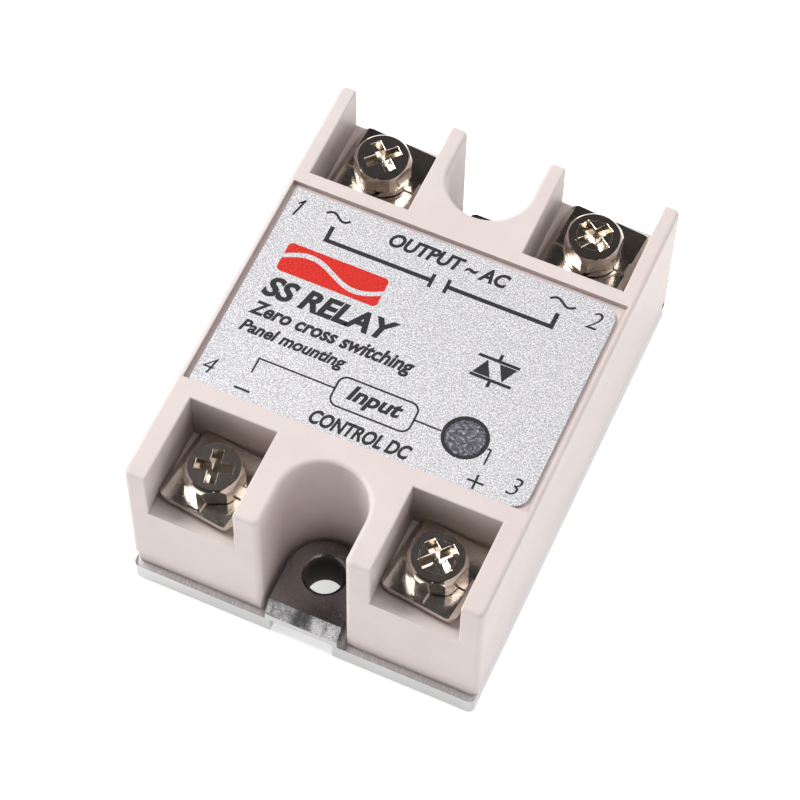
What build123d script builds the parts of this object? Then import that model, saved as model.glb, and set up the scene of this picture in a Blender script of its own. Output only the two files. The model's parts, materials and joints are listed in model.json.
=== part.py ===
"""Panel-mount solid state relay with two output and two input screw terminals.

Millimetres. X runs across the terminals, +Y points to the output end, +Z is up.
The origin is on the underside of the metal base, at the middle of its outline.
Terminals 1 and 2 are the outputs (left and right), 3 and 4 the inputs (right and left).
"""
import os
from math import cos, radians, sin

from build123d import *

os.makedirs("parts", exist_ok=True)

# ---------------------------------------------------------------- driving dimensions
width = 45.0
length = 60.2
height = 24.4

# metal base: a flange under the housing, with a raised boss around each fixing hole
flange_t = 2.9
flange_inset = 0.2
flange_reach = 0.75
flange_edge = 0.25
boss_h = 3.0
boss_gap = 0.7
hole_r = 2.3
hole_y = 24.0
hole_rim = 0.5
nose_back = 1.3
nose_drop = 1.8
nose_notch_w = 8.2
nose_notch_d = 2.0

# housing shell
wall = 1.8
notch_r = 5.4
notch_y = 24.3
corner_round = 0.8
top_round = 0.6
rim_round = 0.25
foot_h = 2.2
foot_step = 0.2
deck_z = 12.0

# label recess in the top, the label plate in it and the status window in the label
recess_half_w = 21.8
recess_front = -15.8
recess_back = 14.6
recess_d = 0.8
label_gap = 0.65
label_front_gap = 0.2
label_t = 0.4
window_x = 11.35
window_y = -9.55
window_r = 2.4
light_hole_r = 2.1

# screw terminals
screw_y = 23.5
input_x = 14.15
input_half_w = 5.55
input_end = 18.05
input_floor_d = 8.1
output_x = 14.0
output_half_w = 6.5
output_end = 16.45
output_floor_d = 7.6
plate_w = 9.0
plate_outer = 4.4
plate_inner = 5.0
plate_t = 1.0
tail_w = 4.0
tail_t = 0.8
tail_tip_z = 8.5
plate_corner = 0.5
input_clamp_size = 10.0
output_clamp_size = 11.0
clamp_round = 1.2
clamp_t = 0.7
clamp_edge_t = 0.35
clamp_bevel = 0.65
clamp_rim = 0.25
ridge_h = 0.2
ridge_w = 1.9
spring_t = 0.9
spring_r = 3.5
spring_cut = 0.6
clear_r = 2.25
head_h = 2.8
head_across_flats = 6.7
head_corner_r = 3.65
head_shoulder = 0.9
head_top_r = 3.15
recess_reach = 2.25
recess_arm_w = 1.25
recess_depth = 1.7
recess_edge = 0.1
dish_w = 0.25
dish_depth = 0.12
shank_r = 1.95
shank_len = 8.0
tip_chamfer = 0.5
thread_bore_r = 2.0
nut_size = 7.0
nut_t = 3.2
nut_slack = 0.1
nut_corner = 0.3
well_r = 3.2
well_bore_r = 2.4
well_floor_z = 9.4

# inside
board_z = 9.2
board_t = 1.6
board_half_w = 20.0
board_half_l = 19.9
board_slack = 0.5
led_tip_z = 23.3
led_foot_z = 17.4
led_foot_t = 1.0
led_foot_r = 1.9
led_r = 1.5
potting_top = 8.2
potting_slack = 0.1
pad_w = 24.0
pad_l = 26.0
pad_t = 0.65
lead_tip_z = 8.5
lead_hole_r = 0.55

flange_top = flange_t
boss_top = flange_t + boss_h
boss_r = notch_r - boss_gap
board_top = board_z + board_t
recess_floor = height - recess_d
ceiling = recess_floor - wall
half_l = length / 2
base_half_l = half_l + flange_reach
inner_half_w = width / 2 - wall
chamber_front = -input_end + wall
chamber_back = output_end - wall
device_z = flange_top + pad_t


def save(part, name):
    part.label = name
    export_step(part, f"parts/{name}.step")


def slot_area(radius, centre_y, end_y):
    """U-shaped area: a round inner end at centre_y and straight sides out to end_y."""
    with BuildSketch() as area:
        with Locations((0, centre_y)):
            Circle(radius)
        with Locations((0, (centre_y + end_y) / 2)):
            Rectangle(2 * radius, abs(end_y - centre_y))
    return area.sketch


class Terminal:
    """Where one screw terminal stands, and the heights of what is stacked on its floor."""

    def __init__(self, number, side, end, clamp_turn, hex_turn, cross_turn, dished):
        output = end > 0
        self.number = number
        self.end = end
        self.x = side * (output_x if output else input_x)
        self.y = end * screw_y
        self.half_w = output_half_w if output else input_half_w
        self.inner_y = end * (output_end if output else input_end)
        self.floor = height - (output_floor_d if output else input_floor_d)
        self.has_spring = output
        self.clamp_size = output_clamp_size if output else input_clamp_size
        self.clamp_turn = clamp_turn
        self.hex_turn = hex_turn
        self.cross_turn = cross_turn
        self.dished = dished
        self.tail_y = self.y - end * (plate_inner - tail_t / 2)
        self.plate_top = self.floor + plate_t
        self.clamp_top = self.plate_top + clamp_t + ridge_h
        self.seat = self.clamp_top + (spring_t if output else 0)
        self.head_top = self.seat + head_h

    def across(self, z, turn=0.0):
        """Plane across the screw axis at height z, turned about the axis by some degrees."""
        turned = (cos(radians(turn)), sin(radians(turn)), 0)
        return Plane(origin=(self.x, self.y, z), x_dir=turned, z_dir=(0, 0, 1))

    def upright(self, z, turn=0.0):
        """Plane through the screw axis, Y up from height z, turned about the axis by some degrees."""
        turned = (cos(radians(turn)), sin(radians(turn)), 0)
        return Plane(origin=(self.x, self.y, z), x_dir=turned, z_dir=(turned[1], -turned[0], 0))


terminals = [
    Terminal(1, side=-1, end=1, clamp_turn=-4.5, hex_turn=13, cross_turn=48, dished=False),
    Terminal(2, side=1, end=1, clamp_turn=-4.5, hex_turn=34, cross_turn=55, dished=True),
    Terminal(3, side=1, end=-1, clamp_turn=-7, hex_turn=14, cross_turn=49, dished=True),
    Terminal(4, side=-1, end=-1, clamp_turn=-7, hex_turn=25, cross_turn=12, dished=False),
]

# leads that pass through the circuit board, by component
led_leads = [(window_x - 1.27, window_y), (window_x + 1.27, window_y)]
optocoupler_x, optocoupler_y = -3.0, -4.5
optocoupler_leads = [
    (optocoupler_x + across, optocoupler_y + along)
    for across in (-3.81, 3.81)
    for along in (-2.54, 0, 2.54)
]
transistor_x, transistor_y = 4.5, -10.5
transistor_leads = [(transistor_x + across, transistor_y) for across in (-1.27, 0, 1.27)]
capacitor_x, capacitor_y = -9.5, 9.5
capacitor_leads = [(capacitor_x + across, capacitor_y) for across in (-5, 5)]
device_y = 1.5
device_leads = [(across, -12.4) for across in (-5.45, 0, 5.45)]

# small parts lying on the board: middle, turn in degrees, distance between leads
resistor_places = [(-14.5, -6.5, 90, 10.2), (-11.0, -6.5, 90, 10.2), (8.5, -3.5, 0, 10.2), (8.5, 0.5, 0, 10.2)]
snubber_resistor_place = (9.0, 11.0, 0, 12.7)
diode_place = (14.5, -12.8, 0, 7.6)


def lead_ends(place):
    """Where the two leads of a lying part go through the board."""
    x, y, turn, span = place
    reach_x = span / 2 * cos(radians(turn))
    reach_y = span / 2 * sin(radians(turn))
    return [(x - reach_x, y - reach_y), (x + reach_x, y + reach_y)]


# ---------------------------------------------------------------- metal base
with BuildPart() as base_plate:
    with BuildSketch():
        RectangleRounded(width - 2 * flange_inset, 2 * base_half_l, corner_round)
    extrude(amount=flange_t)
    with BuildSketch(Plane.XY.offset(flange_top)):
        for end in (-1, 1):
            add(slot_area(boss_r, end * notch_y, end * base_half_l))
    extrude(amount=boss_h)
    # the back boss has rounded ends, the front one a nose sloping down over a notch in the flange
    back_ends = base_plate.edges().filter_by(Axis.Z).group_by(Axis.Z)[-1].sort_by(Axis.Y)[-2:]
    fillet(back_ends, corner_round)
    boss_rims = base_plate.edges().filter_by(Axis.X).group_by(Axis.Z)[-1]
    boss_faces = base_plate.faces().filter_by(Plane.XY).group_by(Axis.Z)[-1]
    chamfer(boss_rims.sort_by(Axis.Y)[0], nose_back, nose_drop, reference=boss_faces.sort_by(Axis.Y)[0])
    with BuildSketch():
        with Locations((0, -base_half_l + nose_notch_d / 2)):
            Rectangle(nose_notch_w, nose_notch_d)
    extrude(amount=flange_t, mode=Mode.SUBTRACT)
    with Locations((0, hole_y, boss_top), (0, -hole_y, boss_top)):
        Hole(hole_r)
    hole_rims = base_plate.edges().filter_by(GeomType.CIRCLE).group_by(Axis.Z)[-1]
    chamfer(hole_rims.filter_by(lambda rim: abs(rim.radius - hole_r) < 0.01), hole_rim)
    fillet(base_plate.faces().sort_by(Axis.Z)[0].outer_wire().edges(), flange_edge)
save(base_plate.part, "base_plate")


# ---------------------------------------------------------------- housing
def cavity_area(slack=0.0):
    """Plan of the hollow inside: the outline less its walls and less both fixing notches."""
    with BuildSketch() as plan:
        Rectangle(2 * (inner_half_w - slack), length - 2 * (wall + slack))
        for end in (-1, 1):
            add(slot_area(notch_r + wall + slack, end * notch_y, end * half_l), mode=Mode.SUBTRACT)
    return plan.sketch


def on_pocket_rim(edge):
    """Whether an edge runs round the top of a terminal pocket or down the sides of its mouth."""
    middle = edge.center()
    on_outside = middle.Z > height - top_round or abs(middle.Y) > half_l - 0.01
    for terminal in terminals:
        along_side = abs(abs(middle.X - terminal.x) - terminal.half_w) < 0.01
        along_back = abs(middle.Y - terminal.inner_y) < 0.01 and abs(middle.X - terminal.x) < 0.01
        beside = along_side and abs(middle.Y) > abs(terminal.inner_y)
        if (beside or along_back) and on_outside:
            return middle.Z > terminal.floor + 0.1
    return False


with BuildPart() as housing:
    with BuildSketch(Plane.XY.offset(flange_top)):
        Rectangle(width, length)
        for end in (-1, 1):
            add(slot_area(notch_r, end * notch_y, end * (half_l + 1)), mode=Mode.SUBTRACT)
    extrude(amount=height - flange_top)
    uprights = housing.edges().filter_by(Axis.Z)
    fillet(uprights.filter_by(lambda edge: abs(edge.center().Y) > half_l - 0.1), corner_round)
    fillet(housing.faces().sort_by(Axis.Z)[-1].edges(), top_round)
    # the foot is stepped in a little all round, above the base
    with BuildSketch(Plane.XY.offset(flange_top)):
        Rectangle(width + 2, length + 2)
        RectangleRounded(width - 2 * foot_step, length - 2 * foot_step, corner_round, mode=Mode.SUBTRACT)
    extrude(amount=foot_h, mode=Mode.SUBTRACT)
    # pockets, open at the ends of the housing
    for terminal in terminals:
        pocket_l = half_l + 1 - abs(terminal.inner_y)
        with BuildSketch(Plane.XY.offset(terminal.floor)):
            with Locations((terminal.x, terminal.inner_y + terminal.end * pocket_l / 2)):
                Rectangle(2 * terminal.half_w, pocket_l)
        extrude(amount=height, mode=Mode.SUBTRACT)
    fillet(housing.edges().filter_by(on_pocket_rim), rim_round)
    # hollow from below: the full plan up to the terminal decks, then a middle chamber
    with BuildSketch(Plane.XY.offset(flange_top)):
        add(cavity_area())
    extrude(amount=deck_z - flange_top, mode=Mode.SUBTRACT)
    with BuildSketch(Plane.XY.offset(deck_z)):
        with Locations((0, (chamber_front + chamber_back) / 2)):
            Rectangle(2 * inner_half_w, chamber_back - chamber_front)
    extrude(amount=ceiling - deck_z, mode=Mode.SUBTRACT)
    for terminal in terminals:
        # blind well that hangs into the hollow under the deck and takes the tip of the screw
        well_bottom = potting_top + 0.2
        with BuildSketch(terminal.across(well_bottom)):
            Circle(well_r)
        extrude(amount=deck_z - well_bottom)
        with BuildSketch(terminal.across(well_floor_z)):
            Circle(well_bore_r)
        extrude(amount=terminal.floor - well_floor_z, mode=Mode.SUBTRACT)
        # square trap for the nut, and a slot for the contact plate's tail
        with BuildSketch(terminal.across(terminal.floor - nut_t)):
            Rectangle(nut_size + 2 * nut_slack, nut_size + 2 * nut_slack)
        extrude(amount=nut_t, mode=Mode.SUBTRACT)
        with BuildSketch(Plane.XY.offset(deck_z)):
            with Locations((terminal.x, terminal.tail_y)):
                Rectangle(tail_w + 0.4, tail_t + 0.4)
        extrude(amount=terminal.floor - deck_z, mode=Mode.SUBTRACT)
    # recess for the label, with a hole that lets the status light through
    with BuildSketch(Plane.XY.offset(recess_floor)):
        with Locations((0, (recess_front + recess_back) / 2)):
            Rectangle(2 * recess_half_w, recess_back - recess_front)
    extrude(amount=recess_d, mode=Mode.SUBTRACT)
    with Locations((window_x, window_y, recess_floor)):
        Hole(light_hole_r, depth=wall)
save(housing.part, "housing")


# ---------------------------------------------------------------- label and status window
label_half_w = recess_half_w - label_gap
label_front = recess_front + label_front_gap
label_back = recess_back - label_gap

with BuildPart() as label_plate:
    with BuildSketch(Plane.XY.offset(recess_floor)):
        with Locations((0, (label_front + label_back) / 2)):
            Rectangle(2 * label_half_w, label_back - label_front)
    extrude(amount=label_t)
    fillet(label_plate.edges().filter_by(Axis.Z).group_by(Axis.X)[-1], 2.0)
    fillet(label_plate.edges().filter_by(Axis.Z).group_by(Axis.X)[0], 0.4)
    with Locations((window_x, window_y, recess_floor + label_t)):
        Hole(window_r + 0.1)
save(label_plate.part, "label_plate")

with BuildPart() as status_window:
    with BuildSketch(Plane(origin=(window_x, window_y, recess_floor))):
        Circle(window_r)
    extrude(amount=label_t)
    chamfer(status_window.edges().group_by(Axis.Z)[-1], 0.1)
save(status_window.part, "status_window")


# ---------------------------------------------------------------- screw terminals
def terminal_plate(terminal):
    """Contact plate on the pocket floor, with a tail bent down through the floor to the board."""
    bend_z = terminal.floor + plate_t / 2
    with BuildPart() as plate:
        with BuildSketch(terminal.across(terminal.floor)):
            with Locations((0, terminal.end * (plate_outer - plate_inner) / 2)):
                Rectangle(plate_w, plate_outer + plate_inner)
        extrude(amount=plate_t)
        fillet(plate.edges().filter_by(Axis.Z), plate_corner)
        with BuildSketch(Plane.XY.offset(tail_tip_z)):
            with Locations((terminal.x, terminal.tail_y)):
                Rectangle(tail_w, tail_t)
        extrude(amount=bend_z - tail_tip_z)
        with BuildSketch(terminal.across(terminal.floor)):
            Circle(clear_r)
        extrude(amount=plate_t, mode=Mode.SUBTRACT)
    return plate.part


def terminal_nut(terminal):
    """Square nut in its trap under the contact plate, with broken corners and the thread's bore."""
    with BuildPart() as nut:
        with BuildSketch(terminal.across(terminal.floor - nut_t)):
            Rectangle(nut_size, nut_size)
            Circle(thread_bore_r, mode=Mode.SUBTRACT)
        extrude(amount=nut_t)
        chamfer(nut.edges().filter_by(Axis.Z).group_by(Edge.length)[0], nut_corner)
    return nut.part


def clamp_washer(terminal):
    """Square wire clamp with two bevelled sides and a pressed cross, loose on the screw's shank."""
    half = terminal.clamp_size / 2
    flat_half = half - clamp_bevel
    with BuildPart() as washer:
        with BuildSketch(terminal.upright(terminal.plate_top, terminal.clamp_turn)):
            with BuildLine():
                Polyline((-half, 0), (half, 0), (half, clamp_edge_t), (flat_half, clamp_t),
                         (-flat_half, clamp_t), (-half, clamp_edge_t), close=True)
            make_face()
        extrude(amount=half, both=True)
        with BuildSketch(terminal.across(terminal.plate_top, terminal.clamp_turn)):
            RectangleRounded(2 * half, 2 * half, clamp_round)
        extrude(amount=clamp_t, mode=Mode.INTERSECT)
        with BuildSketch(terminal.across(terminal.plate_top + clamp_t, terminal.clamp_turn)):
            Rectangle(2 * flat_half, ridge_w)
            Rectangle(ridge_w, 2 * (half - clamp_rim))
        extrude(amount=ridge_h, taper=45)
        with BuildSketch(terminal.across(terminal.plate_top)):
            Circle(clear_r)
        extrude(amount=clamp_t + ridge_h, mode=Mode.SUBTRACT)
    return washer.part


def spring_washer(terminal):
    """Split lock washer: a square-section ring with a slanting cut through it."""
    with BuildPart() as ring:
        with BuildSketch(terminal.across(terminal.clamp_top)):
            Circle(spring_r)
            Circle(clear_r, mode=Mode.SUBTRACT)
        extrude(amount=spring_t)
        with BuildSketch(terminal.upright(terminal.clamp_top)):
            with BuildLine():
                Polyline((0, 0), (spring_cut, 0), (2 * spring_cut, spring_t), (spring_cut, spring_t), close=True)
            make_face()
        extrude(amount=spring_r + 1, mode=Mode.SUBTRACT)
    return ring.part


def terminal_screw(terminal):
    """Hex-head machine screw with a cross recess; its thread is a plain cylinder."""
    shoulder_z = head_h - head_shoulder
    with BuildPart() as screw:
        with BuildSketch(terminal.across(terminal.seat, terminal.hex_turn)):
            RegularPolygon(head_across_flats / 2, side_count=6, major_radius=False)
        extrude(amount=head_h)
        # the head's turned shape: square underneath, rounded over to the flat top
        with BuildSketch(terminal.upright(terminal.seat)):
            with BuildLine():
                Polyline((head_top_r, head_h), (0, head_h), (0, 0),
                         (head_corner_r, 0), (head_corner_r, shoulder_z))
                TangentArc((head_corner_r, shoulder_z), (head_top_r, head_h), tangent=(0, 1))
            make_face()
        revolve(axis=Axis((terminal.x, terminal.y, 0), (0, 0, 1)), mode=Mode.INTERSECT)
        # the recess, with its rim rounded over
        with BuildSketch(terminal.across(terminal.head_top, terminal.cross_turn)):
            Rectangle(2 * recess_reach, recess_arm_w)
            Rectangle(recess_arm_w, 2 * recess_reach)
        extrude(amount=-recess_depth, taper=8, mode=Mode.SUBTRACT)
        fillet(screw.faces().sort_by(Axis.Z)[-1].inner_wires()[0].edges(), recess_edge)
        # the dish is a shallow ring pressed around the recess
        if terminal.dished:
            with BuildSketch(terminal.across(terminal.head_top)):
                Circle(recess_reach)
                Circle(recess_reach - dish_w, mode=Mode.SUBTRACT)
            extrude(amount=-dish_depth, taper=30, mode=Mode.SUBTRACT)
        with BuildSketch(terminal.across(terminal.seat)):
            Circle(shank_r)
        extrude(amount=-shank_len)
        chamfer(screw.edges().group_by(Axis.Z)[0], tip_chamfer)
    return screw.part


for terminal in terminals:
    save(terminal_plate(terminal), f"terminal_plate_{terminal.number}")
    save(terminal_nut(terminal), f"terminal_nut_{terminal.number}")
    save(clamp_washer(terminal), f"clamp_washer_{terminal.number}")
    save(terminal_screw(terminal), f"terminal_screw_{terminal.number}")
    if terminal.has_spring:
        save(spring_washer(terminal), f"spring_washer_{terminal.number}")


# ---------------------------------------------------------------- circuit board and its parts
def lying_part(place, body_r, body_l, wire_r=0.3):
    """Cylindrical part lying just above the board, its two leads bent down through it."""
    x, y, turn, span = place
    along = Vector(cos(radians(turn)), sin(radians(turn)), 0)
    axis_z = board_top + body_r + 0.3
    across = Plane(origin=(x, y, axis_z), x_dir=along, z_dir=(along.Y, -along.X, 0))
    drop = lead_tip_z - axis_z
    with BuildPart() as piece:
        with BuildLine(across):
            FilletPolyline((-span / 2, drop), (-span / 2, 0), (span / 2, 0), (span / 2, drop), radius=0.9)
        with BuildSketch(Plane(origin=across.from_local_coords((-span / 2, drop, 0)))):
            Circle(wire_r)
        sweep()
        with BuildSketch(Plane(origin=across.from_local_coords((-body_l / 2, 0, 0)), z_dir=along)):
            Circle(body_r)
        extrude(amount=body_l)
        fillet(piece.edges().filter_by(lambda edge: edge.geom_type == GeomType.CIRCLE
                                       and abs(edge.radius - body_r) < 0.01), body_r / 4)
    return piece.part


with BuildPart() as circuit_board:
    with BuildSketch(Plane.XY.offset(board_z)):
        RectangleRounded(2 * board_half_w, 2 * board_half_l, 1.0)
        for end in (-1, 1):
            add(slot_area(notch_r + wall + board_slack, end * notch_y, end * half_l), mode=Mode.SUBTRACT)
        for terminal in terminals:
            with Locations((terminal.x, terminal.tail_y)):
                Rectangle(tail_w + 0.3, tail_t + 0.3, mode=Mode.SUBTRACT)
        with Locations(*led_leads, *optocoupler_leads, *transistor_leads, *capacitor_leads, *device_leads):
            Circle(lead_hole_r, mode=Mode.SUBTRACT)
        for place in (*resistor_places, snubber_resistor_place, diode_place):
            with Locations(*lead_ends(place)):
                Circle(lead_hole_r, mode=Mode.SUBTRACT)
    extrude(amount=board_t)
save(circuit_board.part, "circuit_board")

with BuildPart() as optocoupler:
    with BuildSketch(Plane(origin=(optocoupler_x, optocoupler_y, board_top + 0.5))):
        Rectangle(6.4, 8.6)
    extrude(amount=3.4)
    chamfer(optocoupler.edges().group_by(Axis.Z)[-1], 0.4)
    with BuildSketch(Plane.XY.offset(lead_tip_z)):
        with Locations(*optocoupler_leads):
            Rectangle(0.3, 0.5)
    extrude(amount=board_top + 2.2 - lead_tip_z)
    with BuildSketch(Plane.XY.offset(board_top + 1.9)):
        for along in (-2.54, 0, 2.54):
            with Locations((optocoupler_x, optocoupler_y + along)):
                Rectangle(2 * 3.81, 1.3)
    extrude(amount=0.3)
save(optocoupler.part, "optocoupler")

with BuildPart() as input_transistor:
    with BuildSketch(Plane(origin=(transistor_x, transistor_y, board_top + 2.0))):
        Circle(2.4)
        with Locations((0, -2.4)):
            Rectangle(6, 2.0, mode=Mode.SUBTRACT)
    extrude(amount=4.6)
    with BuildSketch(Plane.XY.offset(lead_tip_z)):
        with Locations(*transistor_leads):
            Rectangle(0.45, 0.45)
    extrude(amount=board_top + 2.0 - lead_tip_z)
save(input_transistor.part, "input_transistor")

with BuildPart() as snubber_capacitor:
    with BuildSketch(Plane(origin=(capacitor_x, capacitor_y, board_top + 0.1))):
        Rectangle(13.0, 6.0)
    extrude(amount=9.5)
    fillet(snubber_capacitor.edges().filter_by(Axis.Z), 0.5)
    fillet(snubber_capacitor.faces().sort_by(Axis.Z)[-1].edges(), 0.4)
    with BuildSketch(Plane.XY.offset(lead_tip_z)):
        with Locations(*capacitor_leads):
            Circle(0.3)
    extrude(amount=board_top + 0.1 - lead_tip_z)
save(snubber_capacitor.part, "snubber_capacitor")

resistors = Compound(children=[lying_part(place, body_r=1.15, body_l=6.3) for place in resistor_places])
save(resistors, "resistors")
save(lying_part(snubber_resistor_place, body_r=1.6, body_l=9.0), "snubber_resistor")
save(lying_part(diode_place, body_r=1.3, body_l=4.6), "protection_diode")

with BuildPart() as indicator_led:
    with BuildSketch(Plane(origin=(window_x, window_y, 0), x_dir=(1, 0, 0), z_dir=(0, -1, 0))):
        with BuildLine():
            Polyline((0, led_tip_z), (0, led_foot_z), (led_foot_r, led_foot_z),
                     (led_foot_r, led_foot_z + led_foot_t), (led_r, led_foot_z + led_foot_t),
                     (led_r, led_tip_z - led_r))
            RadiusArc((led_r, led_tip_z - led_r), (0, led_tip_z), -led_r)
        make_face()
    revolve(axis=Axis((window_x, window_y, 0), (0, 0, 1)))
    with BuildSketch(Plane.XY.offset(lead_tip_z)):
        with Locations(*led_leads):
            Rectangle(0.45, 0.45)
    extrude(amount=led_foot_z - lead_tip_z)
save(indicator_led.part, "indicator_led")


# ---------------------------------------------------------------- power device on the base
with BuildPart() as insulating_pad:
    with BuildSketch(Plane.XY.offset(flange_top)):
        with Locations((0, device_y)):
            RectangleRounded(pad_w, pad_l, 0.5)
    extrude(amount=pad_t)
save(insulating_pad.part, "insulating_pad")

with BuildPart() as power_triac:
    with BuildSketch(Plane.XY.offset(device_z)):
        with Locations((0, device_y)):
            Rectangle(15.6, 19.0)
    extrude(amount=4.4)
    chamfer(power_triac.edges().group_by(Axis.Z)[-1], 0.5)
    # three leads leave the front edge and turn up through the board
    lead_z = device_z + 2.0
    with BuildSketch(Plane.XY.offset(lead_z)):
        for x, y in device_leads:
            with Locations((x, (y + device_y) / 2)):
                Rectangle(1.0, device_y - y + 0.6)
    extrude(amount=0.6)
    with BuildSketch(Plane.XY.offset(lead_z)):
        with Locations(*device_leads):
            Rectangle(0.8, 0.6)
    extrude(amount=board_top + 1.0 - lead_z)
save(power_triac.part, "power_triac")

with BuildPart() as potting_compound:
    with BuildSketch(Plane.XY.offset(flange_top)):
        add(cavity_area(potting_slack))
    extrude(amount=potting_top - flange_top)
    add(insulating_pad.part, mode=Mode.SUBTRACT)
    add(power_triac.part, mode=Mode.SUBTRACT)
save(potting_compound.part, "potting_compound")
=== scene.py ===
"""Looks of the solid state relay, in Blender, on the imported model. Metres, +Z up."""

import json
import math

import bmesh
import bpy
from mathutils import Matrix, Vector


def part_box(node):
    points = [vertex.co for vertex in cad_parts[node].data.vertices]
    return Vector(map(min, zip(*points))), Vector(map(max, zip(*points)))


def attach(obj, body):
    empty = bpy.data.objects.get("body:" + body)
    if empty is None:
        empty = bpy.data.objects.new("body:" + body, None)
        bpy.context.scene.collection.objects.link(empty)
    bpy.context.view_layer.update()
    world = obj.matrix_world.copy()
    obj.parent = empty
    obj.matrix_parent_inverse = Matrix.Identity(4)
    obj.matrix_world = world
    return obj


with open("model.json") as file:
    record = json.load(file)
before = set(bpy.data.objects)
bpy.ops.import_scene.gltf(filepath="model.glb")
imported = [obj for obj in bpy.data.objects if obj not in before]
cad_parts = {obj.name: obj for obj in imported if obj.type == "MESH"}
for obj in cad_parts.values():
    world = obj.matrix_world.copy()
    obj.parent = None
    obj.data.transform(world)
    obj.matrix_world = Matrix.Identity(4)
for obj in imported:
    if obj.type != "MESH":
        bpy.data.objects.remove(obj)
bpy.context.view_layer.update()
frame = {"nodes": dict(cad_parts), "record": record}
nodes = frame["nodes"]
scene = bpy.context.scene
mm = 0.001


# ---------------------------------------------------------------- camera
# where the photograph was taken from, as angles and a distance about a point in the relay
camera_azimuth = math.radians(23.07)
camera_elevation = math.radians(59.6)
camera_roll = math.radians(1.28)
camera_distance = 358.77 * mm
camera_target = Vector((-0.23, -1.81, 12.4)) * mm
sensor_width, lens_length = 36.0, 133.9  # millimetres, as Blender takes them

away = Vector((
    math.sin(camera_azimuth) * math.cos(camera_elevation),
    -math.cos(camera_azimuth) * math.cos(camera_elevation),
    math.sin(camera_elevation),
))
level_right = Vector((math.cos(camera_azimuth), math.sin(camera_azimuth), 0))
level_up = away.cross(level_right)
rolled_right = level_right * math.cos(camera_roll) + level_up * math.sin(camera_roll)
rolled_up = level_up * math.cos(camera_roll) - level_right * math.sin(camera_roll)

camera = bpy.data.objects.new("camera", bpy.data.cameras.new("camera"))
camera.data.sensor_width = sensor_width
camera.data.lens = lens_length
turn = Matrix((rolled_right, rolled_up, away)).transposed()
camera.matrix_world = Matrix.Translation(camera_target + away * camera_distance) @ turn.to_4x4()
scene.collection.objects.link(camera)
scene.camera = camera


# ---------------------------------------------------------------- floor and light
def add_floor():
    """Wide pale light table under the relay, glowing a little so that shadows stay weak."""
    mesh = bpy.data.meshes.new("floor")
    reach, glow = 3.0, 0.60
    corners = [(-reach, -reach, 0), (reach, -reach, 0), (reach, reach, 0), (-reach, reach, 0)]
    mesh.from_pydata(corners, [], [(0, 1, 2, 3)])
    paper = bpy.data.materials.new("floor_paper")
    paper.use_nodes = True
    surface = paper.node_tree.nodes["Principled BSDF"].inputs
    surface["Base Color"].default_value = (0.8, 0.8, 0.8, 1)
    surface["Roughness"].default_value = 0.9
    surface["Specular IOR Level"].default_value = 0.1
    surface["Emission Color"].default_value = (1, 1, 1, 1)
    surface["Emission Strength"].default_value = glow
    mesh.materials.append(paper)
    floor = bpy.data.objects.new("floor", mesh)
    scene.collection.objects.link(floor)


light_distance = 0.9
daylight = (1.0, 0.985, 0.97)
lamplight = (1.0, 0.98, 0.96)
# name, direction seen from the relay, width of the square in metres, power in watts, colour; all are
# over 30 degrees from (-0.20, 0.47, 0.86), the direction that flat metal tops mirror into the camera
lights = [
    ("key_left", (-0.75, 0.05, 1.05), 0.34, 6.9, daylight),
    ("key_right_back", (0.60, 0.55, 1.10), 0.34, 1.9, daylight),
    ("top_soft", (0.20, -0.05, 1.0), 0.36, 1.6, lamplight),
    ("low_left", (-0.90, -0.42, 0.22), 0.30, 2.0, daylight),
    ("low_right", (0.97, -0.05, 0.22), 0.30, 1.3, daylight),
]


def add_area(name, direction, size, power, colour):
    """Soft square light, standing along a direction from the relay and aimed back at it."""
    data = bpy.data.lights.new(name, "AREA")
    data.shape = "SQUARE"
    data.size = size
    data.energy = power
    data.color = colour
    light = bpy.data.objects.new(name, data)
    toward = Vector(direction).normalized()
    light.location = camera_target + toward * light_distance
    light.rotation_euler = toward.to_track_quat("Z", "Y").to_euler()
    scene.collection.objects.link(light)


def add_studio_sky():
    """Room around the relay: pale near the horizon and dark overhead, where bright metal tops look."""
    sky = bpy.data.worlds.new("studio")
    scene.world = sky
    sky.use_nodes = True
    tree = sky.node_tree
    direction = tree.nodes.new("ShaderNodeTexCoord").outputs["Generated"]
    height = tree.nodes.new("ShaderNodeSeparateXYZ")
    tree.links.new(direction, height.inputs["Vector"])
    ramp = tree.nodes.new("ShaderNodeValToRGB")
    tree.links.new(height.outputs["Z"], ramp.inputs["Fac"])
    pale, dark = ramp.color_ramp.elements
    pale.position = 0.16
    pale.color = (0.36, 0.345, 0.34, 1)
    dark.position = 0.40
    dark.color = (0.03, 0.028, 0.029, 1)
    tree.links.new(ramp.outputs["Color"], tree.nodes["Background"].inputs["Color"])


add_floor()
for light_values in lights:
    add_area(*light_values)
add_studio_sky()
scene.view_settings.view_transform = "Standard"


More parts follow.
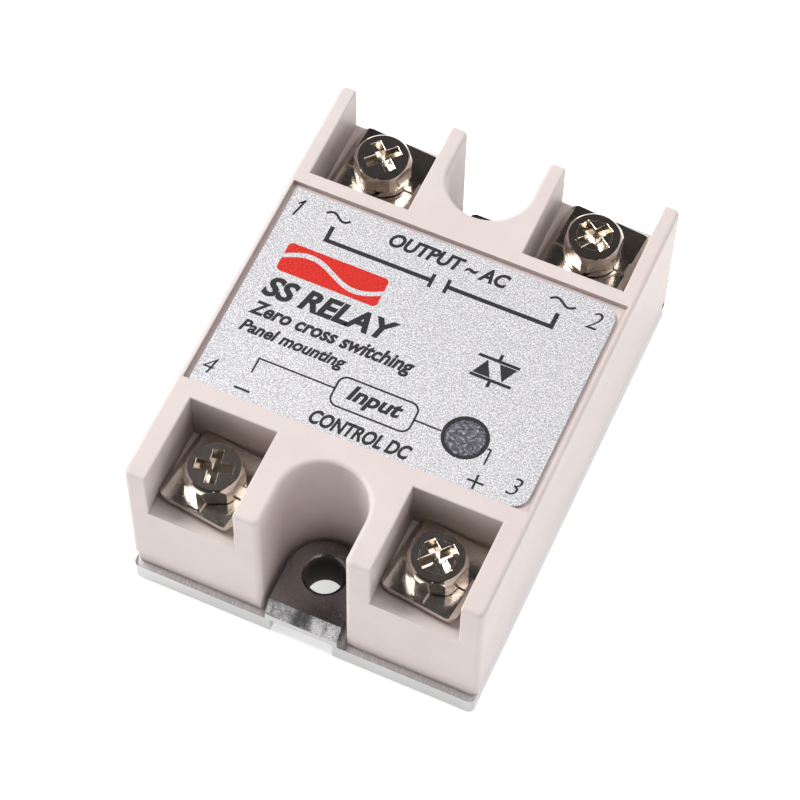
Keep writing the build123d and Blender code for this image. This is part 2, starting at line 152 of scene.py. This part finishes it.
# ---------------------------------------------------------------- materials
class Shader:
    """A node material under construction around one Principled BSDF."""

    def __init__(self, name, **settings):
        self.material = bpy.data.materials.new(name)
        self.material.use_nodes = True
        self.tree = self.material.node_tree
        self.surface = self.tree.nodes["Principled BSDF"]
        self.place = self.add("ShaderNodeTexCoord").outputs["Object"]
        for socket, value in settings.items():
            self.surface.inputs[socket.replace("_", " ")].default_value = value

    def add(self, kind, inputs=None, **settings):
        """New node with its settings made and its inputs linked or filled."""
        node = self.tree.nodes.new(kind)
        for name, value in settings.items():
            setattr(node, name, value)
        for name, value in (inputs or {}).items():
            if hasattr(value, "is_output"):
                self.tree.links.new(value, node.inputs[name])
            else:
                node.inputs[name].default_value = value
        return node

    def link(self, value, socket):
        """Drive one socket of the surface."""
        self.tree.links.new(value, self.surface.inputs[socket])

    def noise(self, size_mm, detail=4.0, roughness=0.55, stretch=(1, 1, 1)):
        """Noise whose features are about size_mm across, stretched along the axes."""
        mapping = self.add("ShaderNodeMapping", {"Vector": self.place, "Scale": stretch})
        texture = self.add("ShaderNodeTexNoise", {
            "Vector": mapping.outputs["Vector"],
            "Scale": 1 / (size_mm * mm),
            "Detail": detail,
            "Roughness": roughness,
        })
        return texture.outputs["Fac"]

    def ramp(self, factor, *stops):
        """Colour ramp over a factor; each stop is (position, grey or colour)."""
        node = self.add("ShaderNodeValToRGB", {"Fac": factor})
        elements = node.color_ramp.elements
        while len(elements) < len(stops):
            elements.new(0.5)
        for element, (position, value) in zip(elements, stops):
            element.position = position
            colour = value if isinstance(value, tuple) else (value, value, value)
            element.color = (*colour, 1)
        return node.outputs["Color"]

    def calculate(self, operation, first, second=0.0):
        """Sum, product or the like of two factors; a root or a size takes the first alone."""
        return self.add("ShaderNodeMath", {0: first, 1: second}, operation=operation).outputs["Value"]

    def blend(self, factor, first, second):
        """Colour that is the first where the factor is 0 and the second where it is 1."""
        node = self.add("ShaderNodeMix", data_type="RGBA")
        # of the node's inputs, 0 is the factor and 6 and 7 are its two colours
        sockets = (node.inputs[0], node.inputs[6], node.inputs[7])
        for socket, value in zip(sockets, (factor, first, second)):
            if hasattr(value, "is_output"):
                self.tree.links.new(value, socket)
            else:
                socket.default_value = value
        return node.outputs[2]

    def bump(self, height, depth_mm, strength=1.0):
        """Relief on top of the relief that the surface already has."""
        previous = self.surface.inputs["Normal"].links
        inputs = {"Height": height, "Distance": depth_mm * mm, "Strength": strength}
        if previous:
            inputs["Normal"] = previous[0].from_socket
        self.link(self.add("ShaderNodeBump", inputs).outputs["Normal"], "Normal")


def housing_plastic():
    """Warm off-white moulded plastic: fine satin texture, faint mottling, and painted shade that darkens its
    corners and hollows.
    """
    shader = Shader(
        "housing_plastic", Subsurface_Weight=0.04, Subsurface_Scale=0.6 * mm, Specular_IOR_Level=0.2
    )
    shader.surface.inputs["Subsurface Radius"].default_value = (1.0, 0.6, 0.45)
    mottle = shader.noise(7.0, detail=3.0)
    corner_reach = 14 * mm
    # painted shade: ambient occlusion darkens the base colour towards corners, pockets and the notch
    painted_corner_shade = shader.add(
        "ShaderNodeAmbientOcclusion", {"Distance": corner_reach}, samples=6
    ).outputs["AO"]
    tone = shader.add("ShaderNodeMix", {
        "Factor": 1.0,
        "A": shader.ramp(mottle, (0.3, (0.69, 0.615, 0.600)), (0.7, (0.73, 0.655, 0.640))),
        "B": shader.ramp(painted_corner_shade, (0.15, (0.66, 0.62, 0.61)), (0.75, 1.0)),
    }, data_type="RGBA", blend_type="MULTIPLY")
    shader.link(tone.outputs["Result"], "Base Color")
    grain = shader.noise(0.25, detail=5.0)
    shader.link(shader.ramp(grain, (0.25, 0.36), (0.75, 0.48)), "Roughness")
    shader.bump(grain, 0.006)
    shader.bump(shader.noise(9.0, detail=1.0), 0.05, 0.5)
    return shader.material


def label_foil():
    """Silver foil with a fine bright and dark speckle."""
    shader = Shader("label_foil", Metallic=0.3, Specular_IOR_Level=0.4)
    speckle = shader.noise(0.17, detail=3.0, roughness=0.7)
    tone = shader.ramp(
        speckle, (0.37, (0.35, 0.35, 0.38)), (0.50, (0.63, 0.63, 0.67)), (0.64, (0.98, 0.98, 1.0))
    )
    shader.link(tone, "Base Color")
    shader.link(shader.ramp(shader.noise(0.3), (0.3, 0.42), (0.7, 0.6)), "Roughness")
    shader.bump(speckle, 0.012)
    return shader.material


boss_step = 4.5 * mm  # between the flange and the tops of the bosses
fixing_hole_y = 24.0 * mm
bore_reach = 2.55 * mm  # just beyond the wall of a fixing hole


def base_metal():
    """Plated base: bright plates with painted shade on their sides, painted shade and reflection on the boss
    tops, dull bores painted dark as shade, pits and painted reflection streaks on the sloping nose.
    """
    shader = Shader("base_metal", Metallic=1.0)
    facing = shader.add("ShaderNodeNewGeometry").outputs["Normal"]
    upward = shader.add("ShaderNodeSeparateXYZ", {"Vector": facing}).outputs["Z"]
    sloping = shader.ramp(upward, (0.3, 0.0), (0.4, 1.0), (0.85, 1.0), (0.92, 0.0))
    spot = shader.add("ShaderNodeSeparateXYZ", {"Vector": shader.place}).outputs
    # painted shade where the boss tops are, and dull with painted shade in the fixing holes through them
    raised = shader.calculate("GREATER_THAN", spot["Z"], boss_step)
    flat_top = shader.calculate("GREATER_THAN", upward, 0.9)
    shaded_boss_top = shader.calculate("MULTIPLY", raised, flat_top)
    from_hole_y = shader.calculate("SUBTRACT", shader.calculate("ABSOLUTE", spot["Y"]), fixing_hole_y)
    from_hole = shader.calculate("SQRT", shader.calculate(
        "ADD",
        shader.calculate("MULTIPLY", spot["X"], spot["X"]),
        shader.calculate("MULTIPLY", from_hole_y, from_hole_y),
    ))
    shaded_bore = shader.calculate("LESS_THAN", from_hole, bore_reach)
    scratches = shader.noise(0.5, detail=6.0, stretch=(6.0, 0.6, 6.0))
    pits = shader.noise(0.28, detail=4.0, roughness=0.7)
    reflection_streaks = shader.noise(2.2, detail=5.0, stretch=(1.0, 0.4, 0.4))
    # painted shade: faces of the plating that are not flat tops get a darker tone than the tops
    side_shade_tone = shader.ramp(scratches, (0.3, (0.43, 0.43, 0.435)), (0.7, (0.52, 0.52, 0.525)))
    face = shader.ramp(scratches, (0.3, (0.64, 0.65, 0.665)), (0.7, (0.76, 0.77, 0.785)))
    pits_and_reflection_streaks = shader.calculate(
        "ADD", shader.calculate("MULTIPLY", reflection_streaks, 0.7), shader.calculate("MULTIPLY", pits, 0.3)
    )
    # painted reflection: dark and bright streaks on the sloping nose, with real pits among them
    nose = shader.ramp(pits_and_reflection_streaks, (0.40, 0.12), (0.52, (0.42, 0.42, 0.43)), (0.62, (0.95, 0.95, 0.96)))
    tone = shader.blend(sloping, shader.blend(flat_top, side_shade_tone, face), nose)
    # painted shade and reflection: a dark tone on the boss tops
    tone = shader.blend(shaded_boss_top, tone, (0.25, 0.225, 0.225, 1))
    # painted shade: a near-black tone on the walls of the fixing holes
    tone = shader.blend(shaded_bore, tone, (0.06, 0.052, 0.05, 1))
    shader.link(tone, "Base Color")
    shader.link(shader.calculate("SUBTRACT", 1.0, shaded_bore), "Metallic")
    plating = shader.ramp(scratches, (0.3, 0.18), (0.7, 0.30))
    shader.link(shader.calculate("MAXIMUM", plating, shaded_bore), "Roughness")
    shader.bump(shader.calculate("MULTIPLY", pits, sloping), 0.02)
    shader.bump(scratches, 0.004)
    return shader.material


def nickel(name, tone, smooth, ripple_mm):
    """Bright nickel plating over pressed steel, with slight waves and fine hairlines."""
    shader = Shader(name, Metallic=1.0)
    stain = shader.noise(1.6, detail=5.0)
    pale = tuple(c * 1.08 for c in tone)
    deep = tuple(c * 0.86 for c in tone)
    shader.link(shader.ramp(stain, (0.3, deep), (0.7, pale)), "Base Color")
    hairlines = shader.noise(0.35, detail=6.0, stretch=(1.0, 4.0, 1.0))
    shader.link(shader.ramp(hairlines, (0.3, smooth), (0.75, smooth + 0.12)), "Roughness")
    shader.bump(shader.noise(1.1, detail=2.0), ripple_mm)
    shader.bump(hairlines, 0.002)
    return shader.material


def lens():
    """Smoked window over the status light, with pale flecks in it."""
    shader = Shader("window_lens", Roughness=0.3)
    flecks = shader.noise(0.4, detail=6.0, roughness=0.75)
    tone = shader.ramp(
        flecks, (0.40, (0.05, 0.05, 0.065)), (0.53, (0.14, 0.14, 0.17)), (0.66, (0.62, 0.62, 0.68))
    )
    shader.link(tone, "Base Color")
    shader.bump(flecks, 0.01)
    return shader.material


def plain(name, colour, roughness, grain_mm=0.3):
    """Moulded or coated small part with a fine grain."""
    shader = Shader(name)
    grain = shader.noise(grain_mm)
    dark = tuple(c * 0.85 for c in colour)
    shader.link(shader.ramp(grain, (0.3, dark), (0.7, colour)), "Base Color")
    shader.link(shader.ramp(grain, (0.3, roughness - 0.06), (0.7, roughness + 0.08)), "Roughness")
    shader.bump(grain, 0.008)
    return shader.material


slot_materials = {
    "housing_plastic": housing_plastic(),
    "label_foil": label_foil(),
    "base_metal": base_metal(),
    "plated_screw": nickel("plated_screw", (0.80, 0.73, 0.65), 0.12, 0.010),
    "plated_clamp": nickel("plated_clamp", (0.64, 0.58, 0.515), 0.14, 0.018),
    "plated_contact": nickel("plated_contact", (0.62, 0.58, 0.52), 0.20, 0.010),
    "window_lens": lens(),
    "led_lens": plain("led_lens", (0.70, 0.04, 0.03), 0.25),
    "board": plain("board", (0.06, 0.26, 0.11), 0.4),
    "component_black": plain("component_black", (0.012, 0.012, 0.013), 0.6),
    "pad_ceramic": plain("pad_ceramic", (0.86, 0.85, 0.80), 0.6),
    "potting": plain("potting", (0.05, 0.048, 0.047), 0.55, grain_mm=2.0),
    "resistor_coat": plain("resistor_coat", (0.62, 0.45, 0.24), 0.4),
    "capacitor_case": plain("capacitor_case", (0.50, 0.12, 0.06), 0.35),
}

for part in frame["record"]["subparts"]:
    mesh = nodes[part["node"]].data
    mesh.materials.clear()
    mesh.materials.append(slot_materials[part["material_slot"]])


# ---------------------------------------------------------------- printing on the label
# positions are in millimetres on the label, X across and Y towards the output end
label_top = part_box("label_plate")[1][2] / mm
ink_t = 0.02
italic = 0.25
output_line_w = 0.55
contact_bar_w = 0.45
input_line_w = 0.22
box_line_w = 0.24
ring_line_w = 0.4
sign_line_w = 0.4


def print_mesh(name, mesh, ink):
    """Printed mark on the label, in the finish of one of the record's slots."""
    mesh.materials.clear()
    mesh.materials.append(slot_materials[ink])
    mark = bpy.data.objects.new(name, mesh)
    scene.collection.objects.link(mark)
    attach(mark, "relay")


def slab(name, outlines, ink="component_black"):
    """Thin closed slabs of ink, one over each outline."""
    shape = bmesh.new()
    for outline in outlines:
        below = [shape.verts.new((x * mm, y * mm, label_top * mm)) for x, y in outline]
        above = [shape.verts.new((x * mm, y * mm, (label_top + ink_t) * mm)) for x, y in outline]
        shape.faces.new(below[::-1])
        shape.faces.new(above)
        for i in range(len(outline)):
            j = (i + 1) % len(outline)
            shape.faces.new((below[i], below[j], above[j], above[i]))
    bmesh.ops.recalc_face_normals(shape, faces=shape.faces)
    mesh = bpy.data.meshes.new(name)
    shape.to_mesh(mesh)
    shape.free()
    print_mesh(name, mesh, ink)


def ribbon(points, line):
    """Outline of a line of a given width through points, with mitred corners and square ends."""
    points = [Vector(point) for point in points]
    left, right = [], []
    for i, point in enumerate(points):
        before = (point - points[i - 1]).normalized() if i > 0 else None
        after = (points[i + 1] - point).normalized() if i + 1 < len(points) else None
        before, after = before or after, after or before
        side = Vector((-(before.y + after.y), before.x + after.x)).normalized()
        reach = line / 2 / side.dot(Vector((-after.y, after.x)))
        left.append(point + side * reach)
        right.append(point - side * reach)
    return left + right[::-1]


def arc(x, y, radius, start, end, steps=12):
    """Points on an arc, between two angles in degrees."""
    turns = [math.radians(start + (end - start) * i / steps) for i in range(steps + 1)]
    return [(x + radius * math.cos(turn), y + radius * math.sin(turn)) for turn in turns]


def wave(x_min, x_max, y, swing, steps=24):
    """Points on one period of a sine wave."""
    shares = [i / steps for i in range(steps + 1)]
    return [(x_min + (x_max - x_min) * share, y + swing * math.sin(2 * math.pi * share)) for share in shares]


def lettering(name, words, x_min, x_max, y_min, y_max, weight):
    """Slanted words that fill a box on the label, tails of letters included."""
    text = bpy.data.curves.new(name, "FONT")
    text.body = words
    text.shear = italic
    text.offset = weight
    text.extrude = ink_t / 2
    text.resolution_u = 4
    maker = bpy.data.objects.new(name, text)
    scene.collection.objects.link(maker)
    bpy.context.view_layer.update()
    depsgraph = bpy.context.evaluated_depsgraph_get()
    mesh = bpy.data.meshes.new_from_object(maker.evaluated_get(depsgraph))
    bpy.data.objects.remove(maker)
    shape = bmesh.new()
    shape.from_mesh(mesh)
    bmesh.ops.remove_doubles(shape, verts=shape.verts, dist=1e-5)
    lows = [min(vert.co[axis] for vert in shape.verts) for axis in range(3)]
    highs = [max(vert.co[axis] for vert in shape.verts) for axis in range(3)]
    scale_x = (x_max - x_min) / (highs[0] - lows[0])
    scale_y = (y_max - y_min) / (highs[1] - lows[1])
    for vert in shape.verts:
        vert.co.x = (x_min + (vert.co.x - lows[0]) * scale_x) * mm
        vert.co.y = (y_min + (vert.co.y - lows[1]) * scale_y) * mm
        vert.co.z = (label_top + vert.co.z - lows[2]) * mm
    shape.to_mesh(mesh)
    shape.free()
    print_mesh(name, mesh, "component_black")


def cross(x, y, reach, width):
    """Outline of an upright cross with arms of one width."""
    half = width / 2
    corner = [(reach, half), (half, half), (half, reach)]
    outline = []
    for across, along in ((1, 1), (-1, 1), (-1, -1), (1, -1)):
        points = corner if across == along else corner[::-1]
        outline += [(x + across * px, y + along * py) for px, py in points]
    return outline


# terminal numbers and signs
slab("print_number_1", [
    ribbon([(-19.9, 10.2), (-19.3, 12.7)], 0.27),
    ribbon([(-19.95, 11.95), (-19.35, 12.5)], 0.25),
])
numbers = [
    ("print_number_2", "2", 18.1, 19.7, 10.1, 12.6),
    ("print_number_3", "3", 18.3, 19.8, -14.3, -11.9),
    ("print_number_4", "4", -20.5, -19.0, -14.1, -11.8),
]
for number in numbers:
    lettering(*number, weight=-0.01)
ac_y, ac_swing, ac_line_w = 12.1, 0.42, 0.32
slab("print_ac_signs", [
    ribbon(wave(x_min, x_max, ac_y, ac_swing), ac_line_w) for x_min, x_max in ((-16.3, -13.1), (12.9, 16.2))
])
polarity_y, polarity_reach, polarity_line_w = -14.4, 1.0, 0.28
minus_x, plus_x = -14.9, 14.7
slab("print_minus", [ribbon(
    [(minus_x - polarity_reach, polarity_y), (minus_x + polarity_reach, polarity_y)], polarity_line_w
)])
slab("print_plus", [cross(plus_x, polarity_y, polarity_reach, polarity_line_w)])

# the switched circuit along the output end: two leads up to two facing contact bars
slab("print_output_leads", [
    ribbon([(-14.75, 10.6), (-14.75, 8.5), (-1.1, 8.5)], output_line_w),
    ribbon([(-0.9, 7.5), (-0.9, 9.5)], contact_bar_w),
    ribbon([(1.1, 7.5), (1.1, 9.5)], contact_bar_w),
    ribbon([(1.3, 8.45), (14.55, 8.45), (14.55, 10.5)], output_line_w),
])

# the control circuit along the input end: leads, a rounded box and a ring round the window
box_left, box_right, box_front, box_back, box_round = -5.1, 5.0, -11.9, -7.8, 1.1
box_line = (
    arc(box_right - box_round, box_front + box_round, box_round, -90, 0)
    + arc(box_right - box_round, box_back - box_round, box_round, 0, 90)
    + arc(box_left + box_round, box_back - box_round, box_round, 90, 180)
    + arc(box_left + box_round, box_front + box_round, box_round, 180, 270)
)
window_x, window_y = (
    (low + high) / 2 / mm for low, high in zip(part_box("status_window")[0][:2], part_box("status_window")[1][:2])
)
ring_radius, ring_clear = 2.66, 2.9
ring_line = arc(window_x, window_y, ring_radius, -90, 269.9, steps=64)  # stops just short of closing
input_y = -9.85
slab("print_input_leads", [
    ribbon([(-14.85, -11.9), (-14.85, -9.75), (box_left, -9.75)], input_line_w),
    ribbon([(box_right, input_y), (window_x - ring_clear, input_y)], input_line_w),
    ribbon([(window_x + ring_clear, input_y), (14.7, input_y), (14.7, -11.95)], input_line_w),
    ribbon(box_line + box_line[:1], box_line_w),
])
slab("print_window_ring", [ribbon(ring_line, ring_line_w)])

# words, all of them general: name, words, x_min, x_max, y_min, y_max and weight of each line
words = [
    ("print_output_words", "OUTPUT ~ AC", -7.8, 7.7, 10.9, 12.95, 0.038),
    ("print_name", "SS RELAY", -18.7, -1.6, -1.6, 1.4, 0.04),
    ("print_kind", "Zero cross switching", -18.9, 2.2, -5.1, -2.5, 0.034),
    ("print_mounting", "Panel mounting", -18.9, -5.3, -7.6, -5.4, 0.034),
    ("print_control", "Input", -3.4, 3.4, -11.2, -8.4, 0.036),
    ("print_input_words", "CONTROL DC", -6.2, 6.5, -15.2, -13.2, 0.038),
]
for line in words:
    lettering(*line)

# red panel with a sine wave cut through it
panel_left, panel_right, panel_front, panel_back, panel_round = -18.5, -5.4, 2.3, 6.5, 0.6
panel_mid = (panel_front + panel_back) / 2
wave_gap, wave_swing = 0.35, 1.1
crest = wave(panel_left, panel_right, panel_mid, wave_swing)
upper = (
    [(x, y + wave_gap) for x, y in crest]
    + arc(panel_right - panel_round, panel_back - panel_round, panel_round, 0, 90)
    + arc(panel_left + panel_round, panel_back - panel_round, panel_round, 90, 180)
)
lower = (
    [(x, y - wave_gap) for x, y in crest[::-1]]
    + arc(panel_left + panel_round, panel_front + panel_round, panel_round, 180, 270)
    + arc(panel_right - panel_round, panel_front + panel_round, panel_round, 270, 360)
)
slab("print_wave_panel", [upper, lower], "led_lens")

# general sign for a triac: two facing triangles between two bars, with a lead on each bar
sign_x, sign_y = 10.9, 0.1
bar_reach, bar_y = 2.6, 1.4
tip_x, foot_near_x, foot_far_x, triangle_y = 1.3, 0.2, 2.4, 1.1
lead_near_y, lead_far_y = 1.6, 2.4
slab("print_triac_sign", [
    ribbon([(sign_x - bar_reach, sign_y - bar_y), (sign_x + bar_reach, sign_y - bar_y)], sign_line_w),
    ribbon([(sign_x - bar_reach, sign_y + bar_y), (sign_x + bar_reach, sign_y + bar_y)], sign_line_w),
    *([
        (sign_x + way * foot_far_x, sign_y + way * triangle_y),
        (sign_x + way * foot_near_x, sign_y + way * triangle_y),
        (sign_x + way * tip_x, sign_y - way * triangle_y),
    ] for way in (-1, 1)),
    *(
        ribbon([(sign_x, sign_y + way * lead_near_y), (sign_x, sign_y + way * lead_far_y)], sign_line_w)
        for way in (1, -1)
    ),
])
